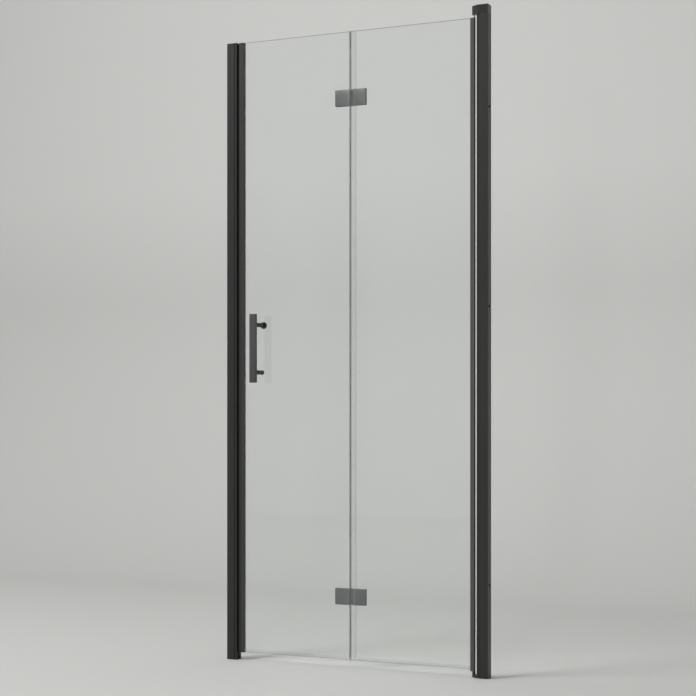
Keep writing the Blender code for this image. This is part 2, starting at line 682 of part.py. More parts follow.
def closing_profile(black, grey, dark, fold_axis):
    """The handle leaf's edge: a profile that grips the glass, its lid, and the magnet in its carrier."""
    half = CLOSING_DEPTH / 2
    lip_x = CARRIER_BACK_X + GROOVE_LIP
    floor_x = CARRIER_BACK_X + GROOVE_DEPTH
    limb = [
        (CLOSING_SLOT_X, SLOT_HALF, 0),
        (CLOSING_END_X, SLOT_HALF, 0),
        (CLOSING_END_X, half, CLOSING_ROUND),
        (CARRIER_BACK_X, half, CLOSING_EDGE_ROUND),
        (CARRIER_BACK_X, GROOVE_MOUTH / 2, 0),
        (lip_x, GROOVE_MOUTH / 2, 0),
        (lip_x, GROOVE_WIDTH / 2, 0),
        (floor_x, GROOVE_WIDTH / 2, 0),
    ]
    outline = rounded(limb + [(x, -y, radius) for x, y, radius in reversed(limb)])
    top = LEAF_TOP - END_CAP_HEIGHT - SEAT_GAP
    prism("closing_profile", outline, CLOSING_BOTTOM, top, black, parent=fold_axis, smooth=True)
    lid = [
        (CLOSING_END_X, SLOT_HALF, 0), (CLOSING_END_X, half, CLOSING_ROUND),
        (CLOSING_X, half, CARRIER_ROUND), (CLOSING_X, -half, CARRIER_ROUND),
        (CLOSING_END_X, -half, CLOSING_ROUND), (CLOSING_END_X, -SLOT_HALF, 0),
        (CLOSING_SLOT_X, -SLOT_HALF, 0), (CLOSING_SLOT_X, SLOT_HALF, 0),
    ]
    prism("closing_profile_cap", rounded(lid), LEAF_TOP - END_CAP_HEIGHT, LEAF_TOP, black,
          parent=fold_axis, smooth=True)
    glass_gasket("closing_profile_gasket", CLOSING_END_X + GASKET_LIP, CLOSING_SLOT_X + SEAT_GAP,
                 GLASS_BOTTOM, grey, fold_axis)
    magnet_carrier(top, dark, fold_axis)


def magnet_carrier(top, dark, fold_axis):
    """The soft carrier: a pocket for the magnet, a hollow behind it and a barbed tongue at its back."""
    half = CLOSING_DEPTH / 2 - CARRIER_INSET
    pocket = MAGNET_WIDTH / 2 + SEAT_GAP
    floor = CLOSING_X + MAGNET_POCKET_DEPTH
    back = CARRIER_BACK_X - SEAT_GAP
    neck = GROOVE_MOUTH / 2 - SEAT_GAP
    barb_x = CARRIER_BACK_X + GROOVE_LIP + SEAT_GAP
    limb = [
        (floor, pocket, 0),
        (CLOSING_X, pocket, 0),
        (CLOSING_X, half, CARRIER_ROUND),
        (back, half, 0),
        (back, neck, 0),
        (barb_x, neck, 0),
        (barb_x, GROOVE_WIDTH / 2 - SEAT_GAP, 0),
        (CARRIER_BACK_X + GROOVE_DEPTH - SEAT_GAP, neck, 0),
    ]
    outline = rounded(limb + [(x, -y, radius) for x, y, radius in reversed(limb)])
    chamber_x = (floor + back) / 2
    chamber = rectangle(chamber_x - CARRIER_CHAMBER_WIDTH / 2, -CARRIER_CHAMBER_DEPTH / 2,
                        chamber_x + CARRIER_CHAMBER_WIDTH / 2, CARRIER_CHAMBER_DEPTH / 2)
    prism("leaf_magnet_carrier", outline, CLOSING_BOTTOM, top, dark, holes=[chamber],
          parent=fold_axis, smooth=True)
    face = CLOSING_X - LEAF_MAGNET_PROUD
    magnet_strip("leaf_magnet_strip", face, floor - SEAT_GAP, CLOSING_BOTTOM, top, dark, fold_axis)


def middle_seal(name, side, leg, base_start, hinge_heights, material, parent):
    """A clear channel on the edge where the leaves meet, with its inner leg cut away at the hinges."""
    edge = JOINT_X + side * JOINT_GAP / 2
    inner = HALF_GLASS + SEAT_GAP
    outer = inner + SEAL_WALL
    tip = edge + side * leg
    web = edge - side * SEAT_GAP
    nose = JOINT_X + side * MIDDLE_SEAL_GAP / 2
    outline = rounded([
        (tip, -outer, 0), (nose, -outer, MIDDLE_SEAL_NOSE), (nose, outer, MIDDLE_SEAL_NOSE),
        (tip, outer, 0), (tip, inner, 0), (web, inner, 0), (web, -inner, 0), (tip, -inner, 0),
    ])
    bottom = GLASS_BOTTOM + BOTTOM_SEAL_LEG + SEAT_GAP
    seal = prism(name, outline, bottom, LEAF_TOP, material, parent=parent)
    reach = HINGE_HEIGHT / 2 + HINGE_NOTCH_CLEARANCE
    start = JOINT_X + side * (base_start - HINGE_NOTCH_CLEARANCE)
    end = tip + side * CUT_OVERRUN
    low_x, high_x = sorted((start, end))
    cut(seal, [box(f"{name}_notch_{z:.3f}", (low_x, 0, z - reach), (high_x, outer + CUT_OVERRUN, z + reach),
                   material, parent) for z in hinge_heights])


def bottom_seal(name, left, right, leg_limit, material, parent):
    """The clear channel under the glass, with a lip that hangs down to the floor."""
    inner = HALF_GLASS + SEAT_GAP
    outer = inner + SEAL_WALL
    lip = BOTTOM_SEAL_LIP / 2
    web_top = GLASS_BOTTOM - SEAT_GAP
    web = web_top - BOTTOM_SEAL_WEB
    top = GLASS_BOTTOM + BOTTOM_SEAL_LEG
    half = [(lip, BOTTOM_SEAL_LOW), (lip, web), (outer, web), (outer, top), (inner, top), (inner, web_top)]
    outline = [Vector(point) for point in half] + [Vector((-y, z)) for y, z in reversed(half)]
    seal = prism(name, outline, left, right, material, along="X", parent=parent)
    if leg_limit > left:
        low = (left - CUT_OVERRUN, -CLOSING_DEPTH, CLOSING_BOTTOM - SEAT_GAP)
        high = (leg_limit, CLOSING_DEPTH, top + CUT_OVERRUN)
        cut(seal, [box(f"{name}_profile_room", low, high, material, parent)])


def hinge_wing_section(side, reach):
    """One wing's section: a block on the glass, a web and the barrel round the fold axis."""
    face = FOLD_Y - SEAT_GAP
    back = HALF_GLASS + SEAT_GAP + HINGE_BASE_THICKNESS + SEAT_GAP
    start = KNUCKLE_RADIUS + KNUCKLE_CLEARANCE
    meet = math.asin(SEAT_GAP / KNUCKLE_RADIUS)
    block = rounded([
        (reach, face, HINGE_ROUND),
        (reach, back, 0),
        (start, back, 0),
        (start, FOLD_Y - KNUCKLE_RADIUS, 0),
    ])
    barrel = arc(0, FOLD_Y, KNUCKLE_RADIUS, math.pi * 3 / 2, -meet, NOSE_STEPS * 2)
    return [Vector((JOINT_X + side * point.x, point.y)) for point in block + barrel]


def knuckle_spans(centre):
    """The (low, high) heights of the knuckles, from the bottom up."""
    pitch = HINGE_HEIGHT / KNUCKLE_COUNT
    low = centre - HINGE_HEIGHT / 2
    return [(low + pitch * index, low + pitch * (index + 1)) for index in range(KNUCKLE_COUNT)]


def hinge_screw_holes(name, side, centre, material, parent):
    """Cutters for the screws' heads and shanks in a wing and its base."""
    face = FOLD_Y - SEAT_GAP
    tools = []
    for index, place in enumerate(HINGE_SCREW_PLACES):
        x = JOINT_X + side * place
        floor = face - HINGE_SCREW_RECESS - HINGE_SCREW_HEAD_HEIGHT - SEAT_GAP
        head = circle(x, centre, HINGE_SCREW_HEAD_RADIUS + SEAT_GAP)
        shank = circle(x, centre, HINGE_SCREW_RADIUS + SEAT_GAP)
        tip = HALF_GLASS + SEAT_GAP + HINGE_BASE_THICKNESS - HINGE_SCREW_BITE - SEAT_GAP
        tools.append(prism(f"{name}_head_room_{index}", head, floor, face + CUT_OVERRUN, material,
                           along="Y", parent=parent))
        tools.append(prism(f"{name}_shank_room_{index}", shank, tip, face, material,
                           along="Y", parent=parent))
    return tools


def hinge_half(name, side, span, centre, own_knuckles, material, steel, parent):
    """One half of a fold hinge: its bonded base, its wing with knuckles, and two screws."""
    low, high = centre - HINGE_HEIGHT / 2, centre + HINGE_HEIGHT / 2
    glass = HALF_GLASS + SEAT_GAP
    face = FOLD_Y - SEAT_GAP
    base_start, reach = span
    xs = sorted((JOINT_X + side * base_start, JOINT_X + side * reach))
    plate = rectangle(xs[0], low, xs[1], high, HINGE_ROUND)
    base = prism(f"{name}_base", plate, glass, glass + HINGE_BASE_THICKNESS, material,
                 along="Y", parent=parent)
    bore = HINGE_PIN_RADIUS + RUNNING_GAP
    wing = prism(f"{name}_wing", hinge_wing_section(side, reach), low, high, material,
                 holes=[circle(JOINT_X, FOLD_Y, bore)], parent=parent, smooth=True)
    start = JOINT_X + side * (KNUCKLE_RADIUS + KNUCKLE_CLEARANCE)
    end = JOINT_X - side * (KNUCKLE_RADIUS + CUT_OVERRUN)
    low_x, high_x = sorted((start, end))
    tools = []
    for index, (bottom, top) in enumerate(knuckle_spans(centre)):
        if index % 2 == own_knuckles:
            continue
        bottom -= CUT_OVERRUN if index == 0 else SEAT_GAP / 2
        top += CUT_OVERRUN if index == KNUCKLE_COUNT - 1 else SEAT_GAP / 2
        tools.append(box(f"{name}_knuckle_room_{index}", (low_x, HALF_GLASS, bottom),
                         (high_x, FOLD_Y + KNUCKLE_RADIUS + CUT_OVERRUN, top), material, parent))
    cut(wing, tools + hinge_screw_holes(f"{name}_wing", side, centre, material, parent))
    cut(base, hinge_screw_holes(f"{name}_base", side, centre, material, parent))
    seat = face - HINGE_SCREW_RECESS - HINGE_SCREW_HEAD_HEIGHT
    for index, place in enumerate(HINGE_SCREW_PLACES):
        rings = [
            (glass + HINGE_BASE_THICKNESS - HINGE_SCREW_BITE, HINGE_SCREW_RADIUS),
            (seat, HINGE_SCREW_RADIUS),
            (seat, HINGE_SCREW_HEAD_RADIUS),
            (face - HINGE_SCREW_RECESS, HINGE_SCREW_HEAD_RADIUS),
        ]
        turned(f"{name}_screw_{index + 1}", rings, steel, (JOINT_X + side * place, centre), "Y",
               evenly(SIDES // 2), parent=parent)


def fold_hinge(name, centre, black, steel, lift_axis, fold_axis):
    """A hinge between the leaves. Its pin stays with the pivot leaf."""
    hinge_half(f"{name}_pivot", 1, (PIVOT_BASE_START, PIVOT_WING_REACH), centre, 0, black, steel,
               lift_axis)
    hinge_half(f"{name}_handle", -1, (HANDLE_BASE_START, HANDLE_WING_REACH), centre, 1, black, steel,
               fold_axis)
    half = HINGE_HEIGHT / 2
    rings = [
        (centre - half, HINGE_PIN_RADIUS - PIN_CHAMFER),
        (centre - half + PIN_CHAMFER, HINGE_PIN_RADIUS),
        (centre + half - PIN_CHAMFER, HINGE_PIN_RADIUS),
        (centre + half, HINGE_PIN_RADIUS - PIN_CHAMFER),
    ]
    turned(f"{name}_pin", rings, steel, (JOINT_X, FOLD_Y), parent=lift_axis)


def handle(black, steel, clear, fold_axis):
    """The bar on its stand-offs, with the bolts that pass through the glass to the inner pieces."""
    face = -HALF_GLASS - HANDLE_REACH
    back = face + HANDLE_BAR_THICKNESS
    half = HANDLE_BAR_WIDTH / 2
    low = HANDLE_CENTRE_HEIGHT - HANDLE_BAR_LENGTH / 2
    high = HANDLE_CENTRE_HEIGHT + HANDLE_BAR_LENGTH / 2
    bar = box("handle_bar", (HANDLE_X - half, face, low), (HANDLE_X + half, back, high), black, fold_axis)
    bolt_room = HANDLE_BOLT_RADIUS + HANDLE_BOLT_CLEARANCE
    bolt_tip = back - HANDLE_BOLT_BITE
    bevel = bar.modifiers.new("soft edges", "BEVEL")
    bevel.width = HANDLE_BAR_ROUND
    bevel.segments = 2
    cut(bar, [prism(f"handle_bar_hole_{level}", circle(HANDLE_X, z, bolt_room), bolt_tip - SEAT_GAP,
                    back + CUT_OVERRUN, black, along="Y", parent=fold_axis)
              for level, z in HANDLE_HEIGHTS.items()])
    washer_face = -HALF_GLASS - SEAT_GAP - HANDLE_WASHER_THICKNESS
    for level, z in HANDLE_HEIGHTS.items():
        place = (HANDLE_X, z)
        rings = [
            (back + SEAT_GAP, STANDOFF_RADIUS),
            (washer_face - SEAT_GAP - STANDOFF_CHAMFER, STANDOFF_RADIUS),
            (washer_face - SEAT_GAP, STANDOFF_RADIUS - STANDOFF_CHAMFER),
            (washer_face - SEAT_GAP, bolt_room),
            (back + SEAT_GAP, bolt_room),
        ]
        turned(f"handle_standoff_{level}", rings, black, place, "Y", tube=True, parent=fold_axis)
        washer = STANDOFF_RADIUS - STANDOFF_CHAMFER / 2
        rings = [
            (washer_face, washer), (-HALF_GLASS - SEAT_GAP, washer),
            (-HALF_GLASS - SEAT_GAP, bolt_room), (washer_face, bolt_room),
        ]
        turned(f"handle_washer_{level}", rings, clear, place, "Y", tube=True, parent=fold_axis)
        inside = HALF_GLASS + HANDLE_BOLT_INSIDE
        rings = [
            (bolt_tip, HANDLE_BOLT_RADIUS - PIN_CHAMFER), (bolt_tip + PIN_CHAMFER, HANDLE_BOLT_RADIUS),
            (inside, HANDLE_BOLT_RADIUS),
        ]
        if level == "lower":
            seat = HALF_GLASS + SEAT_GAP
            rings[-1:] = [(seat, HANDLE_BOLT_RADIUS), (seat, BOLT_HEAD_RADIUS),
                          (seat + BOLT_HEAD_HEIGHT, BOLT_HEAD_RADIUS)]
        turned(f"handle_bolt_{level}", rings, steel, place, "Y", parent=fold_axis)
    inner_pieces(bolt_room, black, fold_axis)


def inner_pieces(bolt_room, black, fold_axis):
    """Inside the shower: a knob on the upper bolt and a hollow cap over the lower bolt's head."""
    seat = HALF_GLASS + SEAT_GAP
    neck = seat + KNOB_NECK_LENGTH
    end = seat + KNOB_LENGTH
    inside = HALF_GLASS + HANDLE_BOLT_INSIDE + SEAT_GAP
    rings = [
        (inside, bolt_room), (seat, bolt_room), (seat, KNOB_NECK_RADIUS),
        (neck, KNOB_NECK_RADIUS), (neck, KNOB_RADIUS - KNOB_ROUND),
    ]
    lower = arc(neck + KNOB_ROUND, KNOB_RADIUS - KNOB_ROUND, KNOB_ROUND, math.pi, math.pi / 2, ROUND_STEPS)
    upper = arc(end - KNOB_ROUND, KNOB_RADIUS - KNOB_ROUND, KNOB_ROUND, math.pi / 2, 0, ROUND_STEPS)
    rings += [tuple(point) for point in lower[1:] + upper]
    turned("inner_knob", rings, black, (HANDLE_X, HANDLE_HEIGHTS["upper"]), "Y",
           evenly(LARGE_SIDES), parent=fold_axis)
    end = seat + INNER_CAP_LENGTH
    rings = [
        (end - INNER_CAP_WALL, INNER_CAP_RADIUS - INNER_CAP_WALL), (seat, INNER_CAP_RADIUS - INNER_CAP_WALL),
        (seat, INNER_CAP_RADIUS), (end - INNER_CAP_WALL / 2, INNER_CAP_RADIUS),
        (end, INNER_CAP_RADIUS - INNER_CAP_WALL / 2),
    ]
    turned("inner_cap", rings, black, (HANDLE_X, HANDLE_HEIGHTS["lower"]), "Y", parent=fold_axis)


def frame(black, dark, steel, plastic):
    """Everything that stays on the walls and the floor."""
    top = CAP_BOTTOM - SEAT_GAP
    fixed_side("pivot", at_pivot_side, PIVOT_SIDE_WIDTH, BLOCK_HEIGHT + SEAT_GAP, top, False, black, steel)
    strike_top = LEAF_TOP - END_CAP_HEIGHT - SEAT_GAP
    fixed_side("strike", at_strike_side, STRIKE_SIDE_WIDTH, 0, strike_top, True, black, steel)
    lid = rounded([
        (STRIKE_WALL_X, -HALF_DEPTH, 0), (STRIKE_FACE_X, -HALF_DEPTH, PROFILE_ROUND),
        (STRIKE_FACE_X, HALF_DEPTH, PROFILE_ROUND), (STRIKE_WALL_X, HALF_DEPTH, 0),
    ])
    prism("strike_top_cap", lid, LEAF_TOP - END_CAP_HEIGHT, LEAF_TOP, black)
    magnet_face = CLOSING_X - LEAF_MAGNET_PROUD - MAGNET_GAP
    magnet_back = STRIKE_FACE_X - MAGNET_POCKET_DEPTH + SEAT_GAP
    magnet_strip("strike_magnet_strip", magnet_face, magnet_back, CLOSING_BOTTOM, strike_top, dark)
    top_bearing(black, plastic)
    bottom_bearing(black)


def build():
    clear_scene()
    black = finish("black_anodised", (0.035, 0.035, 0.034), 0.35, 0.6)
    dark = finish("magnet_rubber", (0.02, 0.02, 0.02), 0.7)
    grey = finish("grey_gasket", (0.25, 0.25, 0.25), 0.6)
    steel = finish("stainless_steel", (0.55, 0.55, 0.54), 0.3, 1.0)
    plastic = finish("bearing_plastic", (0.03, 0.03, 0.03), 0.5)
    glass = finish("clear_glass", (0.8, 0.87, 0.85), 0.02, 0.0, 0.25)
    clear = finish("clear_seal", (0.75, 0.77, 0.76), 0.25, 0.0, 0.5)

    pin_axis = axis_empty("pivot_axis", (0.0, 0.0, 0.0))
    lift_axis = axis_empty("lift_axis", (0.0, 0.0, 0.0), pin_axis)
    fold_axis = axis_empty("fold_axis", (JOINT_X, FOLD_Y, 0.0), lift_axis)
    hinge_heights = {"upper_hinge": UPPER_HINGE_Z, "lower_hinge": LOWER_HINGE_Z}

    frame(black, dark, steel, plastic)
    lift_rings(plastic, steel, pin_axis, lift_axis)
    upper_pin(steel, lift_axis)
    pivot_profile(black, grey, clear, lift_axis)
    gasket_room = GASKET_WEB + 2 * SEAT_GAP
    pane("pivot_leaf_glass", JOINT_X + JOINT_GAP / 2, -PIVOT_SLOT_END - gasket_room, glass, lift_axis)
    holes = [circle(HANDLE_X, z, GLASS_HOLE_RADIUS) for z in HANDLE_HEIGHTS.values()]
    pane("handle_leaf_glass", CLOSING_SLOT_X + gasket_room, JOINT_X - JOINT_GAP / 2, glass, fold_axis, holes)
    closing_profile(black, grey, dark, fold_axis)
    heights = list(hinge_heights.values())
    middle_seal("pivot_leaf_middle_seal", 1, PIVOT_SEAL_LEG, PIVOT_BASE_START, heights, clear, lift_axis)
    middle_seal("handle_leaf_middle_seal", -1, HANDLE_SEAL_LEG, HANDLE_BASE_START, heights, clear,
                fold_axis)
    inset = MIDDLE_SEAL_GAP / 2
    bottom_seal("pivot_leaf_bottom_seal", JOINT_X + inset, -PIVOT_PROFILE_REACH - GASKET_LIP - SEAT_GAP,
                JOINT_X, clear, lift_axis)
    bottom_seal("handle_leaf_bottom_seal", CLOSING_X, JOINT_X - inset, CLOSING_END_X + GASKET_LIP + SEAT_GAP,
                clear, fold_axis)
    for name, centre in hinge_heights.items():
        fold_hinge(name, centre, black, steel, lift_axis, fold_axis)
    handle(black, steel, clear, fold_axis)


build()
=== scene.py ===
import json
import math

import bpy
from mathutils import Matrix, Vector


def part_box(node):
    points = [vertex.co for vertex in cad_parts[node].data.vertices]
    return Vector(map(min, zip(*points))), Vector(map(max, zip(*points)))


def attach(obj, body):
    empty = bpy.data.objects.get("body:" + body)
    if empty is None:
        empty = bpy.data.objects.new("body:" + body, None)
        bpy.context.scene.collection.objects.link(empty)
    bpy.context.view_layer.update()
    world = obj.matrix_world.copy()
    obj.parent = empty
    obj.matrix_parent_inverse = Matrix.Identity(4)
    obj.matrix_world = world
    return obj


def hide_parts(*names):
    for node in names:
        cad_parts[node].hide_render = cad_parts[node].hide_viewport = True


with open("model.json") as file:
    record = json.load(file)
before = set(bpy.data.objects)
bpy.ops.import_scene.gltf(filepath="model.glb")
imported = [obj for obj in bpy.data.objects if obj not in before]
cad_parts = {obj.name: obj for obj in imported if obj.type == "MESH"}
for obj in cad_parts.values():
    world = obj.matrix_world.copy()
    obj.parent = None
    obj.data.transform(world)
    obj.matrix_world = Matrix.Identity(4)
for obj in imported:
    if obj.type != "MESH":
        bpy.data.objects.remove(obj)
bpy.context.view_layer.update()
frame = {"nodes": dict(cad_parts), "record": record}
nodes = frame["nodes"]


# The fixed sides: on each a U of extruded aluminium, with a second profile that slides in it to make up the
# width. Both are powder coated black: the coat's fine grain spreads the light, and the drawn metal under
# it leaves faint lines along the length.
def linear(colour):
    """The linear values of an sRGB hex colour."""
    shares = [int(colour[place:place + 2], 16) / 255 for place in (1, 3, 5)]
    return [s / 12.92 if s <= 0.04045 else ((s + 0.055) / 1.055) ** 2.4 for s in shares] + [1.0]


def add(material, kind, inputs=None, **settings):
    """Adds a node with its settings. Each input is a value, or the output that it is linked to."""
    tree = material.node_tree
    made = tree.nodes.new(kind)
    for name, value in settings.items():
        setattr(made, name, value)
    for name, value in (inputs or {}).items():
        if isinstance(value, bpy.types.NodeSocket):
            tree.links.new(value, made.inputs[name])
        else:
            made.inputs[name].default_value = value
    return made


def set_finish(material, **inputs):
    """Sets the shader's inputs. A name has _ for a space, and a value is plain or an output."""
    shader = material.node_tree.nodes["Principled BSDF"]
    for name, value in inputs.items():
        socket = shader.inputs[name.replace("_", " ")]
        if isinstance(value, bpy.types.NodeSocket):
            material.node_tree.links.new(value, socket)
        else:
            socket.default_value = value


def finish(name, **inputs):
    """A new material with these inputs on its shader."""
    material = bpy.data.materials.new(name)
    material.use_nodes = True
    set_finish(material, **inputs)
    return material


def vary(material, tone, deep, pale, wear, smooth, rough):
    """The colour follows one texture from deep to pale, and the roughness another from smooth to rough."""
    colour = add(material, "ShaderNodeMix", {"Factor": tone, "A": linear(deep), "B": linear(pale)},
                 data_type="RGBA")
    roughness = add(material, "ShaderNodeMapRange", {"Value": wear, "From Min": 0.3, "From Max": 0.7,
                                                     "To Min": smooth, "To Max": rough})
    set_finish(material, Base_Color=colour.outputs["Result"], Roughness=roughness.outputs["Result"])


def dress(material, *names):
    """Gives these CAD nodes the material."""
    for name in names:
        mesh = nodes[name].data
        mesh.materials.clear()
        mesh.materials.append(material)


def powder_coat(name, deep, pale, smooth, gloss, drawn):
    """Powder coat: soft clouds of tone, and a grain drawn coarser than it is so that it shows. On drawn
    metal the die's lines run up the length."""
    grain_pitch, cloud_size, line_pitch, line_stretch = 0.0015, 0.09, 0.002, 2.0
    unevenness = 0.1 if drawn else 0.08
    material = finish(name, Specular_IOR_Level=gloss)
    place = add(material, "ShaderNodeTexCoord").outputs["Object"]
    grain = add(material, "ShaderNodeTexNoise", {"Vector": place, "Scale": 1 / grain_pitch, "Detail": 1.0})
    clouds = add(material, "ShaderNodeTexNoise", {"Vector": place, "Scale": 1 / cloud_size, "Detail": 3.0})
    wear = height = grain.outputs["Fac"]
    if drawn:
        across = add(material, "ShaderNodeMapping",
                     {"Vector": place, "Scale": (1 / line_pitch, 1 / line_pitch, 1 / line_stretch)})
        wear = add(material, "ShaderNodeTexNoise", {"Vector": across.outputs["Vector"], "Scale": 1.0,
                                                    "Detail": 2.0}).outputs["Fac"]
        height = add(material, "ShaderNodeMath", {0: height, 1: wear}, operation="ADD").outputs["Value"]
    bump = add(material, "ShaderNodeBump", {"Height": height, "Strength": 0.25, "Distance": 0.00005})
    vary(material, clouds.outputs["Fac"], deep, pale, wear, smooth, smooth + unevenness)
    set_finish(material, Normal=bump.outputs["Normal"])
    return material


dress(powder_coat("black_powder_coat_on_wall_profiles", "#191818", "#222120",
                  smooth=0.3, gloss=0.4, drawn=True),
      "strike_wall_profile", "strike_adjusting_profile", "pivot_wall_profile", "pivot_adjusting_profile")


# The clamp screws that hold each sliding profile in its U, driven from the door's inner side. They are plain
# stainless steel, cold headed with a cross recess in a pan head, with fine marks and a low shine.
bodies = frame["record"]["behaviour"]["bodies"]
body_of = {node: body for body, members in bodies.items() for node in members}


def only(piece):
    """Selects this piece alone."""
    bpy.ops.object.select_all(action="DESELECT")
    piece.select_set(True)
    bpy.context.view_layer.objects.active = piece


def settle(piece):
    """Puts the piece's place, turn and size into its mesh, so that its origin is the door's."""
    only(piece)
    bpy.ops.object.transform_apply(location=True, rotation=True, scale=True)


def block(centre, size):
    """A box to work from, of this size about this centre."""
    bpy.ops.object.select_all(action="DESELECT")
    bpy.ops.mesh.primitive_cube_add(size=1.0, location=centre)
    bpy.ops.transform.resize(value=size)
    piece = bpy.context.object
    settle(piece)
    return piece


def rod(centre, radius, length, sides):
    """A round or many-sided rod to work from, that runs through the door from front to back."""
    bpy.ops.object.select_all(action="DESELECT")
    bpy.ops.mesh.primitive_cylinder_add(vertices=sides, radius=radius, depth=length, location=centre,
                                        rotation=(math.radians(90), 0.0, 0.0))
    piece = bpy.context.object
    settle(piece)
    return piece


def pick_faces(piece, wanted):
    """Goes into edit mode with only the wanted faces selected."""
    only(piece)
    bpy.ops.object.mode_set(mode="EDIT")
    bpy.ops.mesh.select_mode(type="FACE")
    bpy.ops.mesh.select_all(action="DESELECT")
    bpy.ops.object.mode_set(mode="OBJECT")
    for face in piece.data.polygons:
        face.select = wanted(face)
    bpy.ops.object.mode_set(mode="EDIT")


def shaped(piece, kind, **settings):
    """Adds a modifier with these settings and applies it."""
    only(piece)
    made = piece.modifiers.new(kind.lower(), kind)
    for name, value in settings.items():
        setattr(made, name, value)
    bpy.ops.object.modifier_apply(modifier=made.name)


def cut_away(piece, cutter):
    """Takes the cutter's shape out of the piece and deletes the cutter."""
    shaped(piece, "BOOLEAN", operation="DIFFERENCE", object=cutter)
    bpy.data.objects.remove(cutter)


def stand_in(piece, node, *materials):
    """Names and dresses the piece, and lets it stand for this CAD node on the node's body."""
    piece.name = f"fine_{node}"
    piece.data.materials.clear()
    for material in materials:
        piece.data.materials.append(material)
    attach(piece, body_of[node])
    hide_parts(node)


def screw_body(node, head_height, shank_radius, rim):
    """A screw's head and shank where this CAD node is, with the head's rim rounded."""
    low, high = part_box(node)
    middle = (low + high) / 2
    head_radius = (high.x - low.x) / 2
    under_head = high.y - head_height
    squarely = 0.9
    screw = rod((middle.x, high.y - head_height / 2, middle.z), head_radius, head_height, sides=48)
    pick_faces(screw, lambda face: face.normal.y < -squarely)
    bpy.ops.mesh.inset(thickness=head_radius - shank_radius)
    bpy.ops.mesh.extrude_region_move(TRANSFORM_OT_translate={"value": (0.0, low.y - under_head, 0.0)})
    bpy.ops.object.mode_set(mode="OBJECT")
    pick_faces(screw, lambda face: face.normal.y > squarely)
    bpy.ops.mesh.bevel(offset=rim, segments=4)
    bpy.ops.object.mode_set(mode="OBJECT")
    return screw, Vector((middle.x, high.y, middle.z))


def place_screws(screw, screw_nodes, material):
    """Copies the first screw to each node's place, each with its own mesh, and dresses them all."""
    only(screw)
    bpy.ops.object.shade_smooth_by_angle(angle=math.radians(30))
    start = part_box(screw_nodes[0])[0]
    copies = [screw]
    for node in screw_nodes[1:]:
        only(screw)
        bpy.ops.object.duplicate()
        bpy.ops.transform.translate(value=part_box(node)[0] - start)
        copies.append(bpy.context.object)
        settle(bpy.context.object)
    for piece, node in zip(copies, screw_nodes):
        stand_in(piece, node, material)


def turned_steel(name):
    """Bright stainless steel. Its tool marks are drawn 0.6 mm apart, coarser than in truth, so they show."""
    mark_pitch = 0.0006
    material = finish(name, Metallic=1.0)
    place = add(material, "ShaderNodeTexCoord").outputs["Object"]
    marks = add(material, "ShaderNodeTexNoise", {"Vector": place, "Scale": 1 / mark_pitch, "Detail": 2.0})
    vary(material, marks.outputs["Fac"], "#a9a8a5", "#c4c3c0", marks.outputs["Fac"],
         smooth=0.24, rough=0.36)
    return material


steel = turned_steel("turned_stainless_steel")
clamp_nodes = [f"{side}_clamp_screw_{place}" for side in ("strike", "pivot") for place in (1, 2, 3)]
recess_length, recess_width, recess_depth = 0.0042, 0.0009, 0.0012
clamp_screw, clamp_top = screw_body(clamp_nodes[0], head_height=0.0022, shank_radius=0.0019, rim=0.0013)
for wide, tall in ((recess_length, recess_width), (recess_width, recess_length)):
    cut_away(clamp_screw, block(clamp_top, (wide, 2 * recess_depth, tall)))
place_screws(clamp_screw, clamp_nodes, steel)


# The end caps of the strike side and the closing profile: black ABS mouldings pushed into the profiles' ends.
# The mould rounds their edges softly, and leaves them with a finer grain than the coat beside them has.
def softened(node, width):
    """A copy of a CAD node with its sharp edges rounded by this much."""
    piece = bpy.data.objects.new(node, nodes[node].data.copy())
    bpy.context.scene.collection.objects.link(piece)
    only(piece)
    bpy.ops.object.mode_set(mode="EDIT")
    bpy.ops.mesh.select_all(action="SELECT")
    bpy.ops.mesh.remove_doubles(threshold=0.00001)
    bpy.ops.mesh.dissolve_limited(angle_limit=math.radians(1))
    bpy.ops.object.mode_set(mode="OBJECT")
    shaped(piece, "BEVEL", width=width, segments=2, limit_method="ANGLE", angle_limit=math.radians(40))
    bpy.ops.object.shade_smooth_by_angle(angle=math.radians(35))
    return piece


def moulded(name, deep, pale, smooth, rough):
    """A moulded or extruded plastic or rubber. Its fine sparkle is drawn 1.2 mm apart, so that it shows."""
    spark_pitch = 0.0012
    material = finish(name)
    place = add(material, "ShaderNodeTexCoord").outputs["Object"]
    spark = add(material, "ShaderNodeTexNoise", {"Vector": place, "Scale": 1 / spark_pitch, "Detail": 2.0})
    bump = add(material, "ShaderNodeBump", {"Height": spark.outputs["Fac"], "Strength": 0.15,
                                            "Distance": 0.00004})
    vary(material, spark.outputs["Fac"], deep, pale, spark.outputs["Fac"], smooth, rough)
    set_finish(material, Normal=bump.outputs["Normal"])
    return material


black_abs = moulded("black_abs", "#1b1b1a", "#222221", smooth=0.3, rough=0.4)
for node in ("strike_top_cap", "closing_profile_cap"):
    stand_in(softened(node, width=0.0003), node, black_abs)


# The bearings over and under the pivot leaf: die castings with a glossier black coat than the profiles, and
# no drawn lines. In them are an acetal bush, two ramps that lift the leaf as it opens, and two steel pins.
casting_coat = powder_coat("black_gloss_coat_on_castings", "#1a1a19", "#20201f",
                           smooth=0.14, gloss=0.5, drawn=False)
dress(casting_coat, "top_bearing_cap")
stand_in(softened("bottom_bearing_block", width=0.0006), "bottom_bearing_block", casting_coat)
dress(moulded("black_acetal", "#1f1f1e", "#282827", smooth=0.3, rough=0.4),
      "top_bearing_bush", "lower_lift_ramp", "upper_lift_ramp")
dress(steel, "upper_pivot_pin", "lower_pivot_pin")

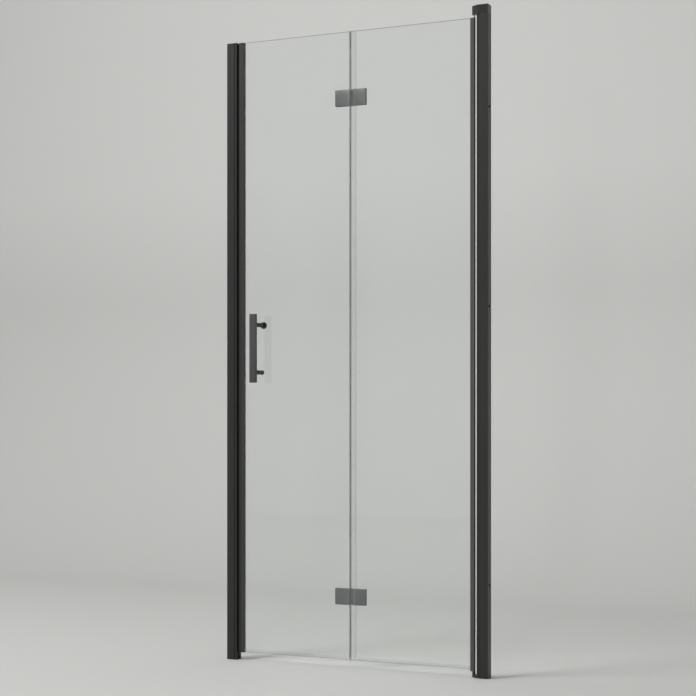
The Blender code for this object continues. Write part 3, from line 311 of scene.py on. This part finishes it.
# The pivot leaf's profile with its round nose, and the closing profile on the handle leaf's free edge:
# coated extrusions, the pivot one more satin and painted a shade paler, a painted sheen for the light its
# round nose catches. Each grips its pane in grey rubber. The closing one has a magnet in a clipped-on carrier
# of soft black vinyl, which is duller than the coat.
dress(powder_coat("black_satin_coat_with_painted_sheen_on_pivot_profile", "#3a3938", "#434241",
                  smooth=0.26, gloss=0.5, drawn=True),
      "pivot_profile")
dress(powder_coat("black_satin_coat_on_closing_profile", "#252423", "#2d2c2b",
                  smooth=0.22, gloss=0.5, drawn=True),
      "closing_profile")
dress(moulded("grey_glazing_rubber", "#5f5f5d", "#6d6d6b", smooth=0.55, rough=0.7),
      "pivot_profile_gasket", "closing_profile_gasket")
dress(moulded("black_soft_vinyl", "#151515", "#1c1c1c", smooth=0.5, rough=0.62),
      "leaf_magnet_carrier")
dress(moulded("black_magnetic_rubber", "#181818", "#202020", smooth=0.6, rough=0.75),
      "strike_magnet_strip", "leaf_magnet_strip")


# The two panes: clear float glass, 6 mm thick, toughened. Their edges are ground to a fine arris all round
# and left satin, which the eye sees as a thin grey-green line. The handle leaf's pane has two drilled holes.
def lit_through(material):
    """Lets the lamps' light through, as thin clear stuff does, so that it throws no black shadow."""
    shader = material.node_tree.nodes["Principled BSDF"]
    end = material.node_tree.nodes["Material Output"]
    lamps = add(material, "ShaderNodeLightPath").outputs["Is Shadow Ray"]
    through = add(material, "ShaderNodeBsdfTransparent", {"Color": linear("#f9f9f9")})
    mix = add(material, "ShaderNodeMixShader", {0: lamps, 1: shader.outputs["BSDF"],
                                                2: through.outputs["BSDF"]})
    material.node_tree.links.new(mix.outputs["Shader"], end.inputs["Surface"])


def float_glass(name):
    """Clear glass. The toughening rolls leave shallow waves across it, about 280 mm apart."""
    wave_pitch = 0.28
    material = finish(name, Transmission_Weight=1.0, IOR=1.52, Roughness=0.0, Base_Color=linear("#fafcfb"))
    place = add(material, "ShaderNodeTexCoord").outputs["Object"]
    waves = add(material, "ShaderNodeTexNoise", {"Vector": place, "Scale": 1 / wave_pitch, "Detail": 0.0})
    bump = add(material, "ShaderNodeBump", {"Height": waves.outputs["Fac"], "Strength": 0.2,
                                            "Distance": 0.0004})
    set_finish(material, Normal=bump.outputs["Normal"])
    lit_through(material)
    return material


def ground_edge(name):
    """Glass ground with a fine wheel: its marks, drawn 0.8 mm apart so they show, make the edge matt."""
    mark_pitch = 0.0008
    material = finish(name, IOR=1.52)
    place = add(material, "ShaderNodeTexCoord").outputs["Object"]
    marks = add(material, "ShaderNodeTexNoise", {"Vector": place, "Scale": 1 / mark_pitch, "Detail": 2.0})
    bump = add(material, "ShaderNodeBump", {"Height": marks.outputs["Fac"], "Strength": 0.3,
                                            "Distance": 0.00004})
    vary(material, marks.outputs["Fac"], "#58645f", "#78857f", marks.outputs["Fac"],
         smooth=0.45, rough=0.6)
    set_finish(material, Normal=bump.outputs["Normal"])
    return material


glass = float_glass("clear_float_glass")
satin_edge = ground_edge("ground_glass_edge")
arris = 0.0006
bolt_hole_radius = 0.005
flat_on = 0.99
for node, bolts in (("pivot_leaf_glass", ()),
                    ("handle_leaf_glass", ("handle_bolt_upper", "handle_bolt_lower"))):
    low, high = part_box(node)
    pane = block((low + high) / 2, high - low)
    shaped(pane, "BEVEL", width=arris, segments=1, limit_method="NONE")
    for bolt in bolts:
        bolt_low, bolt_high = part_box(bolt)
        bolt_length = bolt_high.y - bolt_low.y
        cut_away(pane, rod((bolt_low + bolt_high) / 2, bolt_hole_radius, bolt_length, sides=48))
    stand_in(pane, node, glass, satin_edge)
    for face in pane.data.polygons:
        face.material_index = 0 if abs(face.normal.y) > flat_on else 1


# The seals: soft clear PVC, extruded. A fin closes the pivot side, two channels meet between the leaves,
# two hang under them to the floor, and washers of it keep the handle off the glass.
def clear_vinyl(name):
    """Clear PVC, nearly as clear as the panes, with cloudy patches 12 mm across where it is less smooth."""
    cloud_size = 0.012
    material = finish(name, Transmission_Weight=1.0, IOR=1.53, Specular_IOR_Level=0.25)
    place = add(material, "ShaderNodeTexCoord").outputs["Object"]
    cloud = add(material, "ShaderNodeTexNoise", {"Vector": place, "Scale": 1 / cloud_size, "Detail": 2.0})
    vary(material, cloud.outputs["Fac"], "#f6f8f7", "#fdfefe", cloud.outputs["Fac"],
         smooth=0.02, rough=0.06)
    lit_through(material)
    return material


dress(clear_vinyl("clear_soft_vinyl"), "pivot_seal_fin", "pivot_leaf_middle_seal", "handle_leaf_middle_seal",
      "pivot_leaf_bottom_seal", "handle_leaf_bottom_seal", "handle_washer_upper", "handle_washer_lower")

# The fold hinges, bonded to the panes' inner faces. Under each wing is a base plate with a satin grey-black
# coat, seen through the glass. The wings are castings with a matt black coat on a steel pin, painted darker
# than the bases as painted shade for the dark gap between the bases. Two steel cap screws with hexagon
# sockets, their heads sunk in straight bores, hold each wing to its base.
base_coat = powder_coat("satin_black_coat_on_hinge_bases", "#383a3a", "#404242",
                        smooth=0.3, gloss=0.5, drawn=False)
wing_coat_with_painted_gap_shade = powder_coat("matt_black_coat_with_painted_gap_shade_on_hinge_wings", "#101010", "#161616",
                        smooth=0.45, gloss=0.2, drawn=False)
for level in ("upper", "lower"):
    for side in ("pivot", "handle"):
        for part, coat in (("base", base_coat), ("wing", wing_coat_with_painted_gap_shade)):
            node = f"{level}_hinge_{side}_{part}"
            stand_in(softened(node, width=0.0004), node, coat)
dress(steel, "upper_hinge_pin", "lower_hinge_pin")

hinge_screw_nodes = [f"{level}_hinge_{side}_screw_{place}" for level in ("upper", "lower")
                     for side in ("pivot", "handle") for place in (1, 2)]
socket_radius, socket_depth = 0.0017, 0.002
hinge_screw, hinge_screw_top = screw_body(hinge_screw_nodes[0], head_height=0.003, shank_radius=0.0019,
                                          rim=0.0005)
cut_away(hinge_screw, rod(hinge_screw_top, socket_radius, 2 * socket_depth, sides=6))
place_screws(hinge_screw, hinge_screw_nodes, steel)

# The handle: a flat aluminium bar on two turned stand-offs outside, bolted through the pane to a knob and
# a cap inside. The bar has a satin black coat, the turned pieces a smoother one, painted darker as painted
# shade on the round stand-offs, knob and cap. The bar, the knob and the cap are rounded a little where a
# hand meets them.
bar_coat = powder_coat("satin_black_coat_on_handle_bar", "#3b3d3d", "#434545",
                       smooth=0.3, gloss=0.25, drawn=False)
turned_coat_with_painted_shade = powder_coat("smooth_black_coat_with_painted_shade_on_turned_pieces", "#101111", "#161717",
                          smooth=0.2, gloss=0.2, drawn=False)
stand_in(softened("handle_bar", width=0.0005), "handle_bar", bar_coat)
for node in ("inner_knob", "inner_cap"):
    stand_in(softened(node, width=0.0004), node, turned_coat_with_painted_shade)
dress(turned_coat_with_painted_shade, "handle_standoff_upper", "handle_standoff_lower")
dress(steel, "handle_bolt_upper", "handle_bolt_lower")

# The studio's floor and backdrop: one sheet of pale matt paper that bends up behind the door. Its colour is
# painted a little darker low down, a painted falloff of the light, and its back lets the eye through, so that
# the door can be looked at from inside.
paper_width, paper_depth, paper_middle, under_door = 14.0, 9.0, -1.5, 0.0002
backdrop_rise, bend_radius, bend_steps, tolerance = 5.0, 1.4, 24, 0.1
back_edge = paper_middle + paper_depth / 2 - tolerance
bpy.ops.object.select_all(action="DESELECT")
bpy.ops.mesh.primitive_plane_add(size=1.0, location=(0.0, paper_middle, -under_door))
sweep = bpy.context.object
sweep.name = "pale_sweep"
bpy.ops.transform.resize(value=(paper_width, paper_depth, 1.0))
settle(sweep)
bpy.ops.object.mode_set(mode="EDIT")
bpy.ops.mesh.select_mode(type="EDGE")
bpy.ops.mesh.select_all(action="DESELECT")
bpy.ops.object.mode_set(mode="OBJECT")
for edge in sweep.data.edges:
    edge.select = all(sweep.data.vertices[v].co.y > back_edge for v in edge.vertices)
bpy.ops.object.mode_set(mode="EDIT")
bpy.ops.mesh.extrude_region_move(TRANSFORM_OT_translate={"value": (0.0, 0.0, backdrop_rise)})
bpy.ops.object.mode_set(mode="OBJECT")
for edge in sweep.data.edges:
    ends = [sweep.data.vertices[v].co for v in edge.vertices]
    edge.select = all(end.y > back_edge and end.z < tolerance for end in ends)
bpy.ops.object.mode_set(mode="EDIT")
bpy.ops.mesh.bevel(offset=bend_radius, segments=bend_steps)
bpy.ops.object.mode_set(mode="OBJECT")
bpy.ops.object.shade_smooth()

# The paper's colour is painted darker low down: a painted falloff of the light, not a colour of the paper.
painted_falloff_top = 2.0
paper = finish("pale_paper", Roughness=0.85, Specular_IOR_Level=0.2)
spot = add(paper, "ShaderNodeSeparateXYZ", {"Vector": add(paper, "ShaderNodeTexCoord").outputs["Object"]})
painted_falloff = add(paper, "ShaderNodeMapRange", {"Value": spot.outputs["Z"], "From Max": painted_falloff_top})
sheet = add(paper, "ShaderNodeMix", {"Factor": painted_falloff.outputs["Result"], "A": linear("#a3a3a1"),
                                     "B": linear("#bcbcba")}, data_type="RGBA")
set_finish(paper, Base_Color=sheet.outputs["Result"])
side_seen = add(paper, "ShaderNodeNewGeometry").outputs["Backfacing"]
front = paper.node_tree.nodes["Principled BSDF"].outputs["BSDF"]
back = add(paper, "ShaderNodeBsdfTransparent").outputs["BSDF"]
both = add(paper, "ShaderNodeMixShader", {0: side_seen, 1: front, 2: back})
paper_end = paper.node_tree.nodes["Material Output"]
paper.node_tree.links.new(both.outputs["Shader"], paper_end.inputs["Surface"])
sweep.data.materials.append(paper)

# The room's light: brighter overhead and to the left, and dimmer to the right and low down, so that each
# face of a profile or plate takes a tone of its own.
world = bpy.data.worlds.new("studio")
bpy.context.scene.world = world
world.use_nodes = True
sky = world.node_tree.nodes["Background"]
way = add(world, "ShaderNodeSeparateXYZ",
          {"Vector": add(world, "ShaderNodeTexCoord").outputs["Generated"]})
height = add(world, "ShaderNodeMapRange", {"Value": way.outputs["Z"], "From Min": -0.2, "From Max": 0.8})
rise = add(world, "ShaderNodeValToRGB", {"Fac": height.outputs["Result"]})
stops = rise.color_ramp.elements
lowest, highest = 0.1, 1.3
stops[0].color = (lowest, lowest, lowest, 1.0)
stops[1].color = (highest, highest, highest, 1.0)
for place, level in ((0.14, 0.25), (0.21, 0.8), (0.29, 0.65), (0.45, 0.52), (0.65, 1.2)):
    stop = stops.new(place)
    stop.color = (level, level, level, 1.0)
left = add(world, "ShaderNodeMapRange", {"Value": way.outputs["X"], "From Min": -0.6, "From Max": -0.9,
                                         "To Min": 0.0, "To Max": 0.6})
right = add(world, "ShaderNodeMapRange", {"Value": way.outputs["X"], "From Min": 0.1, "From Max": 0.8,
                                          "To Min": 1.0, "To Max": 0.25})
lit = add(world, "ShaderNodeMath", {0: rise.outputs["Color"], 1: left.outputs["Result"]}, operation="ADD")
light = add(world, "ShaderNodeMath", {0: lit.outputs["Value"], 1: right.outputs["Result"]},
            operation="MULTIPLY")
# Looked at, past the door, through its panes or mirrored in its metal, the room is plain and about as pale
# as the paper.
room_level = 0.55
looks = add(world, "ShaderNodeLightPath")
seen = add(world, "ShaderNodeMath", {0: looks.outputs["Is Camera Ray"],
                                     1: looks.outputs["Is Transmission Ray"]}, operation="MAXIMUM")
looked_at = add(world, "ShaderNodeMath", {0: seen.outputs["Value"], 1: looks.outputs["Is Glossy Ray"]},
                operation="MAXIMUM")
strength = add(world, "ShaderNodeMapRange", {"Value": looked_at.outputs["Value"],
                                             "To Min": light.outputs["Value"], "To Max": room_level})
world.node_tree.links.new(strength.outputs["Result"], sky.inputs["Strength"])
sky.inputs["Color"].default_value = (1.0, 1.0, 1.0, 1.0)

# The lamps: a soft one high on the left that gives the shadows, and a tall narrow one in front that draws
# the long edges.
for name, place, aim, wide, tall, power in (
        ("soft_key", (-2.6, -2.2, 4.7), (-0.4, 0.2, 1.0), 1.6, 1.6, 190.0),
        ("window_light", (1.0, -5.4, 1.6), (-0.3, 0.0, 1.2), 0.5, 2.2, 60.0)):
    bpy.ops.object.light_add(type="AREA", location=place)
    lamp = bpy.context.object
    lamp.name = name
    lamp.data.shape = "RECTANGLE"
    lamp.data.size, lamp.data.size_y = wide, tall
    lamp.data.energy = power
    lamp.rotation_euler = (Vector(aim) - Vector(place)).to_track_quat("-Z", "Y").to_euler()

# The camera stands where the photograph was taken from. It looks level, so that the profiles stand upright,
# and its frame is shifted up a little.
camera_place, upright, turned = (1.586, -4.366, 0.814), math.radians(90.0), math.radians(24.6)
camera_data = bpy.data.cameras.new("photo_view")
camera_data.sensor_width = 36.0
camera_data.lens = 80.34
camera_data.shift_y = 0.0807
camera = bpy.data.objects.new("photo_view", camera_data)
camera.location = camera_place
camera.rotation_euler = (upright, 0.0, turned)
bpy.context.scene.collection.objects.link(camera)
bpy.context.scene.camera = camera
bpy.context.scene.view_settings.view_transform = "Standard"
